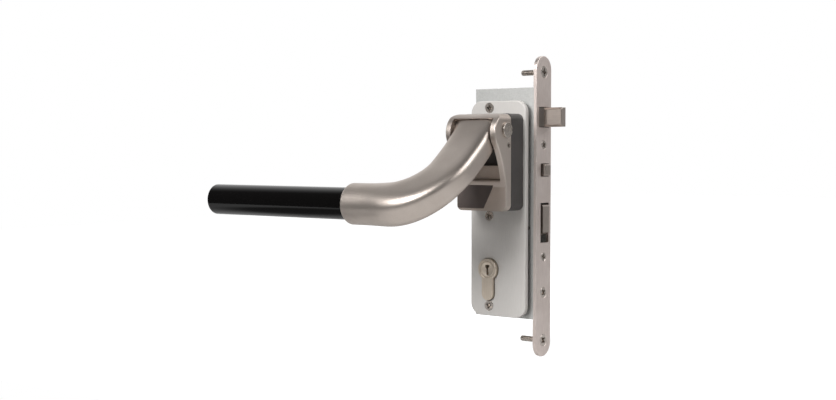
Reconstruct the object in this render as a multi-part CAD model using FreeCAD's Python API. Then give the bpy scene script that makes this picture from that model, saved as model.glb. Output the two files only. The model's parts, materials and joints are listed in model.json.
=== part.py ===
"""Door panic bar: push bar on a cast arm, pivot housing with its drive, backplate and mortice lock.

Millimetres, +Z up. The origin is on the spindle axis at the face of the door, which is the back of
the long plate. +X runs to the lock edge of the door, +Y into the door, -Y out towards the hand.
"""
import FreeCAD
import Part
import os
from math import atan, atan2, ceil, cos, hypot, pi, radians, sin, sqrt, tan

from FreeCAD import Vector

# Used all over
past = 1.0                       # a cutter goes this far past a face, a joined piece this far in
long_cut = 60.0                  # reach of a cutter that has to clear the whole part
close = 0.01                     # two places nearer than this are the same

# Long plate on the door
plate_width = 51.0
plate_height = 170.0
plate_thick = 4.0
plate_corner = 9.5
plate_edge_round = 0.8
plate_mid_x = 8.2
plate_top = 48.0
plate_screw_half_gap = 42.5
plate_screw_low = -114.0

# Door lock: distances of the lock that the plate covers
backset = 40.0
spindle_to_cylinder = 85.0
lock_mid_y = 12.8

# Box behind the casting
box_overhang = 0.2               # the box is this much wider than the casting, each side
box_height = 75.0
box_depth = 17.0
box_corner = 5.0
box_wall = 2.8
box_front_wall = 2.5
box_edge_round = 1.2
boss_wall = 1.4
window_deep = 4.0

# Cast housing with its two ears
ear_thick = 4.7
housing_width = 46.0
housing_base = 3.0
housing_top_drop = 0.4           # below the top of the box
ear_front_radius = 14.5
ear_nose_drop = 2.0              # the round of the ears is centred below the pivot
ear_nose_forward = 1.0           # and in front of it
ear_front_drop = 55.0
ear_slope_drop = 15.1            # below the pivot
ear_foot_drop = 43.6
ear_bow_out = 0.14
ear_bow_down = -0.049
block_depth = 6.5
block_high = 24.7
block_round = 2.2
hood_thick = 3.0
window_low = -2.7
lip_angle = 140.0
casting_round = 1.0

# Pivot of the arm
pivot_y = -27.5
pin_radius = 4.0
pin_head_radius = 6.0
pin_head_high = 1.8
pin_head_round = 0.5
pin_slot_wide = 1.2
pin_slot_deep = 0.7
pin_end_drop = 0.4
bush_wall = 1.5
bush_length = 8.0
hub_radius = 9.4
hub_bore_gap = 0.6
running_gap = 0.05
side_gap = 0.3

# Arm and bar
arm_side_relief = 0.5            # the arm is this much narrower than its hub, each side
arm_face = 12.9
arm_back = 6.6
arm_section_power = 5.0          # how square the arm is across
arm_change_start = 0.45          # share of the straight part that stays round
arm_top_u = -2.6
arm_sag = 2.4                    # the arm hangs this much below a straight line to the pivot
bar_y = -92.0
bar_z = -31.7
bar_radius = 12.5
bar_wall = 1.5
bar_end_x = -214.0
bar_end_gap = 0.5
socket_radius = 16.0
socket_end_x = -67.6
socket_depth = 32.0
socket_round = 3.0
socket_crease = 0.06
elbow_radius = 38.2
arm_sections = 26                # cross-sections along the arm
section_points = 40
outline_steps = 1440
bar_fit = 0.04

# Rubber buffer under the arm
buffer_top_drop = 4.8            # below the top of the block
buffer_low_rise = 1.9            # above the bottom of the block
buffer_left_inset = 0.9
buffer_right_top_x = 19.5
buffer_right_low_x = 10.5
buffer_deep = 2.6
buffer_proud = 0.25
buffer_edge_round = 0.2

# Drive: toothed segment on the hub, rack and pinion
tooth_module = 1.0
pressure_angle = radians(25.0)
addendum = 0.8
dedendum = 1.0
tooth_play = 0.2
pinion_teeth = 16
segment_teeth = 24
segment_width = 8.0
segment_mid_x = 16.5
segment_bore = 7.0
segment_seat_radius = 17.4
rack_back = 7.5
bar_swing = radians(35.0)
spindle_side = 8.0
spindle_play = 0.05
spindle_round = 0.4
spindle_end_gap = 0.2
pinion_floor = 1.5
plate_bush_wall = 2.0
plate_bush_drop = 0.2
journal_radius = 7.4
nose_radius = 5.0
rack_spring_radius = 2.6
rack_spring_wire = 0.7
rack_spring_turns = 8
rack_foot_thick = 3.0
rack_foot_gap = 2.7              # under the foot at rest
guide_low_z = -6.0
guide_top_z = 10.0
tongue_high = 3.2
tongue_reach = 2.4
tongue_rise = 0.5
guide_gap = 0.15

# Lock case in the door
face_width = 22.0
face_thick = 3.0
face_top = 82.5
face_bottom = -152.5
face_edge_round = 0.6
face_corner = 10.5
face_screw_inset = 12.5
case_seat = 0.4                  # shallow seat in the back of the faceplate for the case
case_seat_gap = 0.2
case_thick = 18.0
case_wall = 1.5
case_back_x = -18.0
case_top = 58.0
case_bottom = -123.0
case_screw_top_z = 13.4
case_screw_low_z = -74.2
post_radius = 2.5
rivet_radius = 1.5
rivet_gap = 0.03

# Latch bolt
latch_z = 35.0
latch_high = 15.0
latch_throw = 16.0
latch_travel = 15.0
latch_inner_x = 24.0
latch_step_y = 11.7
latch_wide = 14.5
latch_chamfer = 1.6
latch_back_chamfer = (7.0, 1.4)
latch_end_round = 0.6
opening_gap = 0.5
tail_thick = 3.0
tail_low = 24.0
tail_top = 31.0
tail_grip = 8.0
lug_low = 15.4
lug_wide = 5.2
lug_gap = 0.3
finger_tip = 2.5
finger_thick = 6.0
follower_radius = 10.5
follower_journal = 8.0
follower_gap = 0.1
latch_spring_radius = 3.0
latch_spring_wire = 0.8
latch_spring_turns = 10
latch_spring_z = 37.0

# Trigger and hook bolt
bolt_mid_y = 15.0
bolt_thick = 9.0
bolt_slot_low_y = 8.2
bolt_slot_high_y = 20.3
trigger_z = -6.2
trigger_high = 8.8
trigger_slot_high = 10.3
trigger_proud = 2.6
trigger_inner_x = 24.0
trigger_travel = 3.0
trigger_round = 1.0
trigger_collar = 2.0
trigger_stop_x = 12.0
trigger_stop_thick = 1.2
trigger_spring_radius = 2.6
trigger_spring_wire = 0.6
trigger_spring_turns = 5
hook_pivot_x = 31.5
hook_pivot_z = -51.5
hook_proud = 0.8
hook_end = 18.0
hook_corner = 1.2
hook_front_low = -3.6
hook_back = [(-6.6, 18.0), (-7.5, 17.0), (-7.0, 12.2), (-3.2, 9.8), (-5.6, 3.2)]
hook_hub = 6.5
hook_pin_radius = 3.0
hook_slot_top = -31.9
hook_slot_bottom = -63.2
hook_swing = radians(85.0)
hook_drive_arm = 8.5
hook_drive_pin = 2.0
hook_lobe_wall = 1.4
slide_thick = 2.4
slide_left_x = -8.0
slide_right_x = 27.0
slide_low_z = -66.0
slide_top_z = -44.0
slide_slot_gap = 0.45
slide_seat_gap = 0.2
slide_post_x = 6.0
slide_post_z = -49.0
slide_lug_half = 4.0
slide_lug_gap = 0.5

# Profile cylinder
cylinder_radius = 8.5
cylinder_neck = 5.0
cylinder_drop = 24.5
cylinder_proud = 3.0
cylinder_gap = 0.6
cylinder_edge_round = 0.35
plug_radius = 6.5
plug_gap = 0.04
cam_wide = 10.0
cam_radius = 12.6
cam_hub = 7.6
cam_gap = 0.2
cam_tooth = 3.4
bridge_top = 13.2
cylinder_screw_drop = 17.3
key_deep = 12.0
key_outline = [(-2.2, 1.2), (-2.2, 4.4), (1.5, 4.4), (1.5, 2.2), (1.1, 1.2), (1.1, -1.4), (0.5, -1.4),
               (0.5, -4.6), (-0.5, -4.6), (-0.5, -1.4), (-1.2, -1.4), (-1.2, 1.2)]

# Screws: head radius, shank radius and length
plate_screw = (4.1, 2.5, 7.5)
face_screw = (4.8, 2.4, 20.0)
case_screw = (3.6, 2.0, 8.0)
cylinder_screw = (4.4, 2.4, 44.5)
body_screw = (3.0, 1.5, 24.0)
side_screw_radius = 2.3
side_screw_y = -24.2
side_screw_drop = 11.6           # below the pivot
side_screw_sunk = 0.3
grub_radius = 2.5
grub_x = -56.0
grub_sunk = 0.2
grub_lean = radians(40.0)
grub_socket = 0.55
screw_gap = 0.15
screw_thread_gap = 0.02
screw_tip_gap = 0.5
thread_step = 0.2                # a screw that holds the part is thinner past what it clamps
thread_start = 0.15
body_screw_inset = 1.5
cross_arm = 0.55
cross_wide = 0.18
cross_deep = 0.45

# Worked out from the values above
plate_face_y = -plate_thick
box_face_y = plate_face_y - box_depth
base_face_y = box_face_y - housing_base
box_width = housing_width + 2 * box_overhang
box_top = box_height / 2
box_bottom = -box_height / 2
housing_top = box_top - housing_top_drop
block_top = box_bottom + block_high
buffer_top = block_top - buffer_top_drop
buffer_bottom = box_bottom + buffer_low_rise
ear_centre_y = pivot_y - ear_nose_forward
ear_centre_z = housing_top - ear_front_radius
block_face_y = box_face_y - block_depth
pivot_z = ear_centre_z + ear_nose_drop
ear_slope_z = pivot_z - ear_slope_drop
ear_foot_z = pivot_z - ear_foot_drop
side_screw_z = pivot_z - side_screw_drop
arm_width = housing_width - 2 * ear_thick - 2 * side_gap
rack_foot_z = box_bottom + box_wall + rack_foot_gap + rack_foot_thick
left_x = plate_mid_x - housing_width / 2
right_x = plate_mid_x + housing_width / 2
inner_left_x = left_x + ear_thick
inner_right_x = right_x - ear_thick
cylinder_z = -spindle_to_cylinder
pinion_pitch = tooth_module * pinion_teeth / 2
segment_pitch = tooth_module * segment_teeth / 2
rack_travel = segment_pitch * bar_swing
spindle_turn = rack_travel / pinion_pitch
finger_radius = latch_travel / (2 * sin(spindle_turn / 2))
rack_pitch_y = pivot_y + segment_pitch
rack_face_y = rack_pitch_y + dedendum
rack_left_x = pinion_pitch + dedendum
rack_right_x = segment_mid_x + segment_width / 2
pinion_mid_y = (rack_face_y - rack_back) / 2
arm_length = hypot(bar_y - pivot_y, bar_z - pivot_z)
arm_tilt = atan2(pivot_z - bar_z, pivot_y - bar_y)
case_low_y = lock_mid_y - case_thick / 2
case_high_y = lock_mid_y + case_thick / 2
face_inner_x = backset - face_thick
case_front_x = face_inner_x + case_seat
cylinder_low_y = plate_face_y - cylinder_proud
cylinder_high_y = 2 * lock_mid_y - cylinder_low_y

X_AXIS = Vector(1, 0, 0)
Y_AXIS = Vector(0, 1, 0)
Z_AXIS = Vector(0, 0, 1)
made = {}


def block(x, y, z):
    """Box between two limits on each axis."""
    size = [max(pair) - min(pair) for pair in (x, y, z)]
    return Part.makeBox(*size, Vector(min(x), min(y), min(z)))


def rod(axis, start, end, radius):
    """Cylinder from a start point to a coordinate on the given axis."""
    along = end - start.dot(axis)
    direction = axis if along > 0 else axis * -1
    return Part.makeCylinder(radius, abs(along), start, direction)


def cone(start, direction, height, radius, end_radius):
    return Part.makeCone(radius, end_radius, height, start, direction)


def joined(shapes):
    """One solid from several that touch or overlap."""
    whole = shapes[0].multiFuse(shapes[1:]) if len(shapes) > 1 else shapes[0]
    return whole.removeSplitter()


def cut_by(shape, tools):
    for tool in tools:
        shape = shape.cut(tool)
    return shape


def outline_face(points, to_space):
    """Flat face through points, closed by straight lines; to_space places a pair in space."""
    corners = [to_space(a, b) for a, b in points]
    return Part.Face(Part.makePolygon(corners + corners[:1]))


def in_xz(y):
    return lambda x, z: Vector(x, y, z)


def in_yz(x):
    return lambda y, z: Vector(x, y, z)


def slab_xz(points, y0, y1):
    return outline_face(points, in_xz(y0)).extrude(Vector(0, y1 - y0, 0))


def slab_yz(points, x0, x1):
    return outline_face(points, in_yz(x0)).extrude(Vector(x1 - x0, 0, 0))


def rounded(shape, radius, wanted):
    """Fillet the edges that the test picks."""
    return shape.makeFillet(radius, [e for e in shape.Edges if wanted(e)])


def lies(edge, **limits):
    """True where the whole edge lies on a plane, such as y=-4.0."""
    box = edge.BoundBox
    for name, value in limits.items():
        low = getattr(box, name.upper() + "Min")
        high = getattr(box, name.upper() + "Max")
        if abs(low - value) > close or abs(high - value) > close:
            return False
    return True


def runs_along(edge, axis):
    """True for a straight edge along the axis."""
    if len(edge.Vertexes) < 2 or edge.Curve.TypeId != "Part::GeomLine":
        return False
    way = edge.Vertexes[1].Point - edge.Vertexes[0].Point
    return way.Length > 0 and abs(abs(way.dot(axis)) - way.Length) < close / 10


def rounded_plate(x, y, z, corner):
    """Plate across Y whose four corners are round."""
    return rounded(block(x, y, z), corner, lambda e: runs_along(e, Y_AXIS))


def write(name, *solids):
    """Write one node, which is one solid or a group of alike ones."""
    shape = solids[0] if len(solids) == 1 else Part.makeCompound(list(solids))
    if len(solids) == 1 and shape.ShapeType == "Compound" and len(shape.Solids) == 1:
        shape = shape.Solids[0]
    if not shape.isValid():
        print("NOT VALID", name)
    made[name] = shape
    shape.exportStep("parts/" + name + ".step")
    print(f"{name:20s} solids {len(shape.Solids)}  volume {shape.Volume:9.1f}")


def screw(place, direction, sizes, clamped=None):
    """Countersunk screw with a cross in its head; place is the middle of the head's face.

    Where the thickness that it clamps is given, the thread past that is thinner.
    """
    head, shank, length = sizes
    sink = head - shank
    neck_end = length if clamped is None else clamped + thread_start
    pieces = [
        cone(Vector(), Z_AXIS * -1, sink, head, shank),
        rod(Z_AXIS, Vector(0, 0, -sink), -neck_end, shank),
    ]
    if neck_end < length:
        pieces.append(rod(Z_AXIS, Vector(0, 0, -neck_end), -length, shank - thread_step))
    body = joined(pieces)
    arm = head * cross_arm
    wide = head * cross_wide
    deep = head * cross_deep
    cross = joined([
        block((-arm, arm), (-wide, wide), (-deep, past)),
        block((-wide, wide), (-arm, arm), (-deep, past)),
    ])
    body = body.cut(cross)
    body.Placement = FreeCAD.Placement(place, FreeCAD.Rotation(Z_AXIS, direction))
    return body


def screw_hole(place, direction, sizes, deep):
    """Clearance hole for such a screw; direction points out of the head."""
    head, shank, _ = sizes
    sink = head - shank
    inward = direction * -1
    return joined([
        cone(place, inward, sink + screw_gap, head + screw_gap, shank),
        Part.makeCylinder(shank + screw_gap, deep, place, inward),
    ])


def grub(start, direction, radius, length):
    """Headless screw with a six-sided socket."""
    corners = [Vector(cos(k * pi / 3), sin(k * pi / 3), 0) * radius * grub_socket for k in range(6)]
    socket = Part.Face(Part.makePolygon(corners + corners[:1])).extrude(Z_AXIS * radius)
    body = Part.makeCylinder(radius, length, Vector(0, 0, -length))
    socket.translate(Vector(0, 0, -radius))
    body = body.cut(socket)
    body.Placement = FreeCAD.Placement(start, FreeCAD.Rotation(Z_AXIS, direction))
    return body


def coil_spring(start, direction, length, radius, wire, turns):
    """Compression spring: an open helix from end to end, kept inside its length."""
    free = length - 2 * wire
    helix = Part.makeHelix(free / turns, free, radius)
    section = Part.Wire(Part.makeCircle(wire, Vector(radius, 0, 0), Y_AXIS))
    coil = Part.Wire(helix.Edges).makePipeShell([section], True, True)
    coil.translate(Vector(0, 0, wire))
    coil.Placement = FreeCAD.Placement(start, FreeCAD.Rotation(Z_AXIS, direction)).multiply(coil.Placement)
    return coil


def involute(base, radius):
    roll = sqrt(max((radius / base) ** 2 - 1, 0))
    return roll - atan(roll)


def tooth_points(pitch, middle, steps=4):
    """Outline of one gear tooth as pairs of radius and angle, from root to root."""
    base = pitch * cos(pressure_angle)
    tip = pitch + addendum * tooth_module
    root = pitch - dedendum * tooth_module
    half = (pi * tooth_module / 2 - tooth_play) / (2 * pitch)
    start = max(base, root)
    flank = []
    for k in range(steps + 1):
        radius = start + (tip - start) * k / steps
        flank.append((radius, half + involute(base, pitch) - involute(base, radius)))
    flank.insert(0, (root - close, flank[0][1]))
    rise = [(radius, middle - off) for radius, off in flank]
    fall = [(radius, middle + off) for radius, off in reversed(flank)]
    return rise + fall


def gear_outline(pitch, first, count):
    """Outline of count teeth in a row, the first one centred on the angle given."""
    points = []
    step = pi * tooth_module / pitch
    for k in range(count):
        points += tooth_points(pitch, first + k * step)
    return points


def rack_outline(count, first):
    """Rack teeth as pairs of height above the pitch line and place along it."""
    slope = tan(pressure_angle)
    pitch = pi * tooth_module
    half = (pitch / 2 - tooth_play) / 2
    tip = addendum * tooth_module
    root = dedendum * tooth_module
    points = []
    for k in range(count):
        middle = first + k * pitch
        points += [(-root, middle - half - root * slope), (tip, middle - half + tip * slope)]
        points += [(tip, middle + half - tip * slope), (-root, middle + half + root * slope)]
    return points


def euro_outline(gap):
    """Face of the profile cylinder's outline about its own axis, widened by a gap, at y = 0."""
    circle = Part.Face(Part.Wire(Part.makeCircle(cylinder_radius + gap, Vector(), Y_AXIS)))
    half = cylinder_neck + gap
    foot = -cylinder_drop + cylinder_neck
    neck = outline_face([(-half, 0), (half, 0), (half, foot), (-half, foot)], in_xz(0))
    heel = Part.Face(Part.Wire(Part.makeCircle(half, Vector(0, 0, foot), Y_AXIS)))
    return joined([circle, neck, heel])


def euro_solid(y0, y1, gap=0.0):
    """Prism of the profile cylinder's outline between two depths."""
    solid = euro_outline(gap).extrude(Vector(0, y1 - y0, 0))
    solid.translate(Vector(0, y0, cylinder_z))
    return solid


def plate_screw_places():
    heights = (plate_screw_half_gap, -plate_screw_half_gap, plate_screw_low)
    return [Vector(0, plate_face_y, z) for z in heights]


def body_screw_places():
    """Screws from the back of the plate through the box into the ears."""
    side = housing_width / 2 - ear_thick / 2
    rise = box_top - box_corner - body_screw_inset
    return [Vector(plate_mid_x + sx * side, 0, sz * rise) for sx in (-1, 1) for sz in (-1, 1)]


def make_long_plate():
    x = (plate_mid_x - plate_width / 2, plate_mid_x + plate_width / 2)
    z = (plate_top - plate_height, plate_top)
    plate = rounded_plate(x, (plate_face_y, 0), z, plate_corner)
    plate = rounded(plate, plate_edge_round, lambda e: lies(e, y=plate_face_y))
    bush_hole = rod(Y_AXIS, Vector(0, plate_face_y, 0), 0, journal_radius + running_gap + plate_bush_wall)
    tools = [bush_hole, euro_solid(plate_face_y, 0, cylinder_gap)]
    tools += [screw_hole(p, Y_AXIS * -1, plate_screw, plate_thick) for p in plate_screw_places()]
    tools += [screw_hole(p, Y_AXIS, body_screw, plate_thick) for p in body_screw_places()]
    write("long_plate", cut_by(plate, tools))
    write("plate_screws", *[screw(p, Y_AXIS * -1, plate_screw, plate_thick) for p in plate_screw_places()])


def make_plate_bush():
    """Plastic bush in the plate that carries the pinion."""
    outer = journal_radius + running_gap + plate_bush_wall
    ring = rod(Y_AXIS, Vector(0, plate_face_y, 0), -plate_bush_drop, outer)
    bore = rod(Y_AXIS, Vector(0, plate_face_y, 0), 0, journal_radius + running_gap)
    write("plate_bush", ring.cut(bore))


def box_window():
    """Opening in the front of the box for the hub and the teeth on it."""
    x = (inner_left_x - side_gap, inner_right_x + side_gap)
    low = pivot_z - segment_pitch - tooth_module
    y = (box_face_y - past, box_face_y + box_front_wall + window_deep)
    return block(x, y, (low, housing_top - hood_thick))


def rack_guide():
    """Block inside the box that the back of the rack slides along, with a groove for its tongue."""
    left = rack_right_x - tongue_reach + guide_gap
    right = plate_mid_x + (box_width - box_wall) / 2
    guide = block((left, right), (plate_face_y, box_face_y + past), (guide_low_z, guide_top_z))
    middle = pinion_mid_y
    groove = block((left, left + tongue_reach + guide_gap),
                   (middle - tongue_high / 2 - guide_gap, middle + tongue_high / 2 + guide_gap),
                   (guide_low_z, guide_top_z))
    return guide.cut(groove)


def make_mechanism_box():
    x = (plate_mid_x - box_width / 2, plate_mid_x + box_width / 2)
    z = (box_bottom, box_top)
    outside = rounded_plate(x, (box_face_y, plate_face_y), z, box_corner)
    shell = outside.copy()
    shell = rounded(shell, box_edge_round, lambda e: lies(e, y=box_face_y))
    inner_x = (x[0] + box_wall, x[1] - box_wall)
    inner_z = (z[0] + box_wall, z[1] - box_wall)
    inside = rounded_plate(inner_x, (box_face_y + box_front_wall, plate_face_y), inner_z, box_corner - box_wall)
    shell = shell.cut(inside)
    bosses = []
    for place in body_screw_places():
        start = Vector(place.x, plate_face_y, place.z)
        bosses.append(rod(Y_AXIS, start, box_face_y + past, body_screw[1] + boss_wall))
    body = joined([shell, rack_guide()] + [boss.common(outside) for boss in bosses])
    tools = [box_window()]
    tools.append(rod(Y_AXIS, Vector(0, plate_face_y, 0), box_face_y - past, nose_radius + running_gap))
    for place in body_screw_places():
        start = Vector(place.x, 0, place.z)
        tools.append(rod(Y_AXIS, start, box_face_y - past, body_screw[1] + screw_gap))
    write("mechanism_box", cut_by(body, tools))


def ear_outline():
    """Side view of the housing as a face at x = 0, in depth and height."""
    drop = radians(ear_front_drop)
    tangent = Vector(0, ear_centre_y - ear_front_radius * sin(drop),
                     ear_centre_z - ear_front_radius * cos(drop))
    middle_angle = (pi - drop) / 2
    middle = Vector(0, ear_centre_y - ear_front_radius * sin(middle_angle),
                    ear_centre_z + ear_front_radius * cos(middle_angle))
    top_front = Vector(0, ear_centre_y, housing_top)
    slope_length = (tangent.z - ear_slope_z) / sin(drop)
    slope_end = tangent + Vector(0, cos(drop), -sin(drop)) * slope_length
    foot = Vector(0, block_face_y, ear_foot_z)
    bow = foot.y - slope_end.y
    bend = (slope_end + foot) * 0.5 + Vector(0, bow * ear_bow_out, bow * ear_bow_down)
    bottom = box_bottom
    edges = [
        Part.LineSegment(Vector(0, box_face_y, housing_top), top_front).toShape(),
        Part.Arc(top_front, middle, tangent).toShape(),
        Part.LineSegment(tangent, slope_end).toShape(),
        Part.Arc(slope_end, bend, foot).toShape(),
        Part.LineSegment(foot, Vector(0, block_face_y, bottom)).toShape(),
        Part.LineSegment(Vector(0, block_face_y, bottom), Vector(0, box_face_y, bottom)).toShape(),
        Part.LineSegment(Vector(0, box_face_y, bottom), Vector(0, box_face_y, housing_top)).toShape(),
    ]
    return Part.Face(Part.Wire(edges))


def under_hood():
    """Space between the ears, open at the front and closed above by the hood."""
    x = (inner_left_x, inner_right_x)
    space = block(x, (block_face_y - long_cut, base_face_y), (block_top, housing_top + past))
    roof_radius = ear_front_radius - hood_thick
    roof_top = housing_top - hood_thick
    keep = joined([
        rod(X_AXIS, Vector(x[0] - past, ear_centre_y, ear_centre_z), x[1] + past, ear_front_radius + past),
        block((x[0] - past, x[1] + past), (ear_centre_y, box_face_y + past),
              (ear_centre_z, housing_top + 2 * past)),
    ])
    hollow = joined([
        rod(X_AXIS, Vector(x[0] - 2 * past, ear_centre_y, ear_centre_z), x[1] + 2 * past, roof_radius),
        block((x[0] - 2 * past, x[1] + 2 * past), (ear_centre_y, box_face_y + 2 * past), (block_top, roof_top)),
    ])
    lip = radians(lip_angle)
    way = Vector(0, cos(lip), sin(lip))
    side = Vector(0, sin(lip), -cos(lip))
    pivot = Vector(0, pivot_y, pivot_z)
    far = pivot + (way + side) * long_cut
    fence = [pivot + way * long_cut, pivot, pivot + side * long_cut, far]
    above = slab_yz([(p.y, p.z) for p in fence], x[0] - past, x[1] + past)
    hood = keep.cut(hollow).common(above)
    return space.cut(hood)


def buffer_points():
    """Front view of the rubber buffer."""
    left = left_x + buffer_left_inset
    return [(left, buffer_bottom), (buffer_right_low_x, buffer_bottom), (buffer_right_top_x, buffer_top),
            (left, buffer_top)]


def make_housing():
    body = ear_outline().extrude(Vector(housing_width, 0, 0))
    body.translate(Vector(left_x, 0, 0))
    body = rounded(body, casting_round, front_casting_edge)
    depth = (block_face_y - long_cut, box_face_y)
    frame = rounded_plate((left_x, right_x), depth, (box_bottom, housing_top), box_corner)
    body = body.common(frame)
    body = body.cut(under_hood())
    x = (inner_left_x, inner_right_x)
    window = block(x, (base_face_y - past, box_face_y), (window_low, housing_top - hood_thick))
    body = body.cut(window)
    body = rounded(body, block_round, lambda e: lies(e, z=block_top) and e.BoundBox.YMax < base_face_y - past)
    body = body.cut(slab_xz(buffer_points(), block_face_y - past, block_face_y + buffer_deep))
    tools = [rod(X_AXIS, Vector(left_x - past, pivot_y, pivot_z), right_x + past, pin_radius + running_gap)]
    side_start = Vector(inner_right_x - past, side_screw_y, side_screw_z)
    tools.append(rod(X_AXIS, side_start, right_x + past, side_screw_radius + running_gap))
    deep = -body_screw[2] - screw_tip_gap
    for place in body_screw_places():
        tools.append(rod(Y_AXIS, Vector(place.x, 0, place.z), deep, body_screw[1] + screw_thread_gap))
    write("housing", cut_by(body, tools))


def front_casting_edge(edge):
    """Edges of the two sides of the casting, apart from the one against the box."""
    box = edge.BoundBox
    on_side = min(abs(box.XMin - left_x), abs(box.XMin - right_x)) < close and box.XLength < close
    return on_side and box.YMin < box_face_y - close


def make_buffer():
    pad = slab_xz(buffer_points(), block_face_y - buffer_proud, block_face_y + buffer_deep)
    write("arm_buffer", rounded(pad, buffer_edge_round, lambda e: lies(e, y=block_face_y - buffer_proud)))


def make_body_screws():
    write("body_screws", *[screw(p, Y_AXIS, body_screw) for p in body_screw_places()])


def make_pivot():
    """Headed pin with a screwdriver slot, and the small screw in the ear below it."""
    head_x = right_x + pin_head_high
    pin = rod(X_AXIS, Vector(left_x + pin_end_drop, pivot_y, pivot_z), right_x, pin_radius)
    head = rod(X_AXIS, Vector(right_x, pivot_y, pivot_z), head_x, pin_head_radius)
    head = rounded(head, pin_head_round, lambda e: lies(e, x=head_x))
    half = pin_slot_wide / 2
    across = pin_head_radius + past
    slot = block((head_x - pin_slot_deep, head_x + past), (pivot_y - across, pivot_y + across),
                 (pivot_z - half, pivot_z + half))
    write("pivot_pin", joined([pin, head]).cut(slot))
    start = Vector(right_x - side_screw_sunk, side_screw_y, side_screw_z)
    write("side_screw", grub(start, X_AXIS, side_screw_radius, ear_thick - 2 * side_screw_sunk))


def arm_frame():
    """Directions of the arm's plane: along it towards the pivot, and outwards from its face."""
    along = Vector(0, cos(arm_tilt), sin(arm_tilt))
    outward = Vector(0, -sin(arm_tilt), cos(arm_tilt))
    return along, outward


def arm_point(x, u, n):
    along, outward = arm_frame()
    return Vector(x, pivot_y, pivot_z) + along * u + outward * n


def section_ring(x, u, turn, half_wide, half_thick, power, lift):
    """Ring of control points across the arm: an ellipse at power 2, squarer at a higher power."""
    outline = []
    for k in range(outline_steps + 1):
        angle = 2 * pi * k / outline_steps
        outline.append((half_wide * swell(cos(angle), power), half_thick * swell(sin(angle), power)))
    corners = []
    for a, b in evenly_spaced(outline, section_points):
        place = u - a * cos(turn)
        corners.append(arm_point(x + a * sin(turn), place, lift + b - sag_at(place)))
    return corners


def sag_at(u):
    """How far the arm hangs at a place: steep at the pivot and gone where the socket starts."""
    share = min(max(-u / (arm_length - socket_radius), 0.0), 1.0)
    return arm_sag * share * (1 - share) ** 2 * 27 / 4


def swell(value, power):
    size = abs(value) ** (2 / power)
    return size if value > 0 else -size


def evenly_spaced(outline, count):
    """Points at equal distances along a closed outline."""
    run = [0.0]
    for (a0, b0), (a1, b1) in zip(outline, outline[1:]):
        run.append(run[-1] + hypot(a1 - a0, b1 - b0))
    picked = []
    k = 0
    for n in range(count):
        wanted = run[-1] * n / count
        while run[k + 1] < wanted:
            k += 1
        share = (wanted - run[k]) / (run[k + 1] - run[k])
        (a0, b0), (a1, b1) = outline[k], outline[k + 1]
        picked.append((a0 + (a1 - a0) * share, b0 + (b1 - b0) * share))
    return picked


def ease(t):
    t = min(max(t, 0.0), 1.0)
    return t * t * (3 - 2 * t)


def arm_section(distance):
    """Section at a distance along the middle line from the socket's mouth."""
    straight = plate_mid_x - elbow_radius - socket_end_x
    bend = elbow_radius * pi / 2
    start_u = -arm_length
    if distance < straight:
        x, u, turn = socket_end_x + distance, start_u, 0.0
    elif distance < straight + bend:
        turn = (distance - straight) / elbow_radius
        x = plate_mid_x - elbow_radius + elbow_radius * sin(turn)
        u = start_u + elbow_radius * (1 - cos(turn))
    else:
        turn = pi / 2
        x = plate_mid_x
        u = start_u + elbow_radius + distance - straight - bend
    t = ease((distance - straight * arm_change_start) / (straight * (1 - arm_change_start) + bend))
    outside = 3 / (2 + cos(2 * pi / section_points))
    half_wide = outside * (socket_radius + (arm_width / 2 - arm_side_relief - socket_radius) * t)
    half_thick = outside * (socket_radius + ((arm_face + arm_back) / 2 - socket_radius) * t)
    power = 2 + (arm_section_power - 2) * t
    lift = (arm_face - arm_back) / 2 * t
    return section_ring(x, u, turn, half_wide, half_thick, power, lift)


def arm_skin():
    """Solid inside one smooth surface that is led by rings of control points along the arm."""
    straight = plate_mid_x - elbow_radius - socket_end_x
    leg = arm_length - elbow_radius + arm_top_u
    total = straight + elbow_radius * pi / 2 + leg
    rings = [arm_section(total * k / arm_sections) for k in range(arm_sections + 1)]
    around = list(range(section_points + 1))
    along = list(range(len(rings) - 2))
    along_counts = [4] + [1] * (len(along) - 2) + [4]
    poles = [[ring[k] for ring in rings] for k in range(section_points)]
    surface = Part.BSplineSurface()
    surface.buildFromPolesMultsKnots(poles, [1] * len(around), along_counts, around, along, True, False, 3, 3)
    skin = surface.toShape()
    ends = [Part.Face(Part.Wire(e)) for e in skin.Edges if e.isClosed()]
    shell = Part.makeShell([skin] + ends)
    shell.sewShape()
    return Part.makeSolid(shell)


def make_arm():
    body = arm_skin()
    body = body.cut(mouth_trim())
    half = arm_width / 2
    hub = rod(X_AXIS, Vector(plate_mid_x - half, pivot_y, pivot_z), plate_mid_x + half, hub_radius)
    body = joined([body, hub])
    bore_start = Vector(plate_mid_x - half - past, pivot_y, pivot_z)
    tools = [rod(X_AXIS, bore_start, plate_mid_x + half + past, pin_radius + hub_bore_gap)]
    for start, end in bush_spans():
        tools.append(rod(X_AXIS, Vector(start, pivot_y, pivot_z), end, pin_radius + bush_wall))
    socket = Vector(socket_end_x - past, bar_y, bar_z)
    tools.append(rod(X_AXIS, socket, socket_end_x + socket_depth, bar_radius + bar_fit))
    tools.append(segment_seat())
    grub_start = Vector(grub_x, bar_y, bar_z)
    tools.append(Part.makeCylinder(grub_radius + running_gap, socket_radius + 2 * past, grub_start, grub_way()))
    write("arm", cut_by(body, tools))


def mouth_trim():
    """Ring that rounds the outer edge of the socket's mouth."""
    start = Vector(socket_end_x, bar_y, bar_z)
    kept = rod(X_AXIS, start, socket_end_x + 3 * socket_round, socket_radius + socket_crease)
    kept = rounded(kept, socket_round, lambda e: lies(e, x=socket_end_x))
    before = Vector(socket_end_x - past, bar_y, bar_z)
    around = rod(X_AXIS, before, socket_end_x + socket_round, socket_radius + 2 * past)
    return around.cut(kept)


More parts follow.
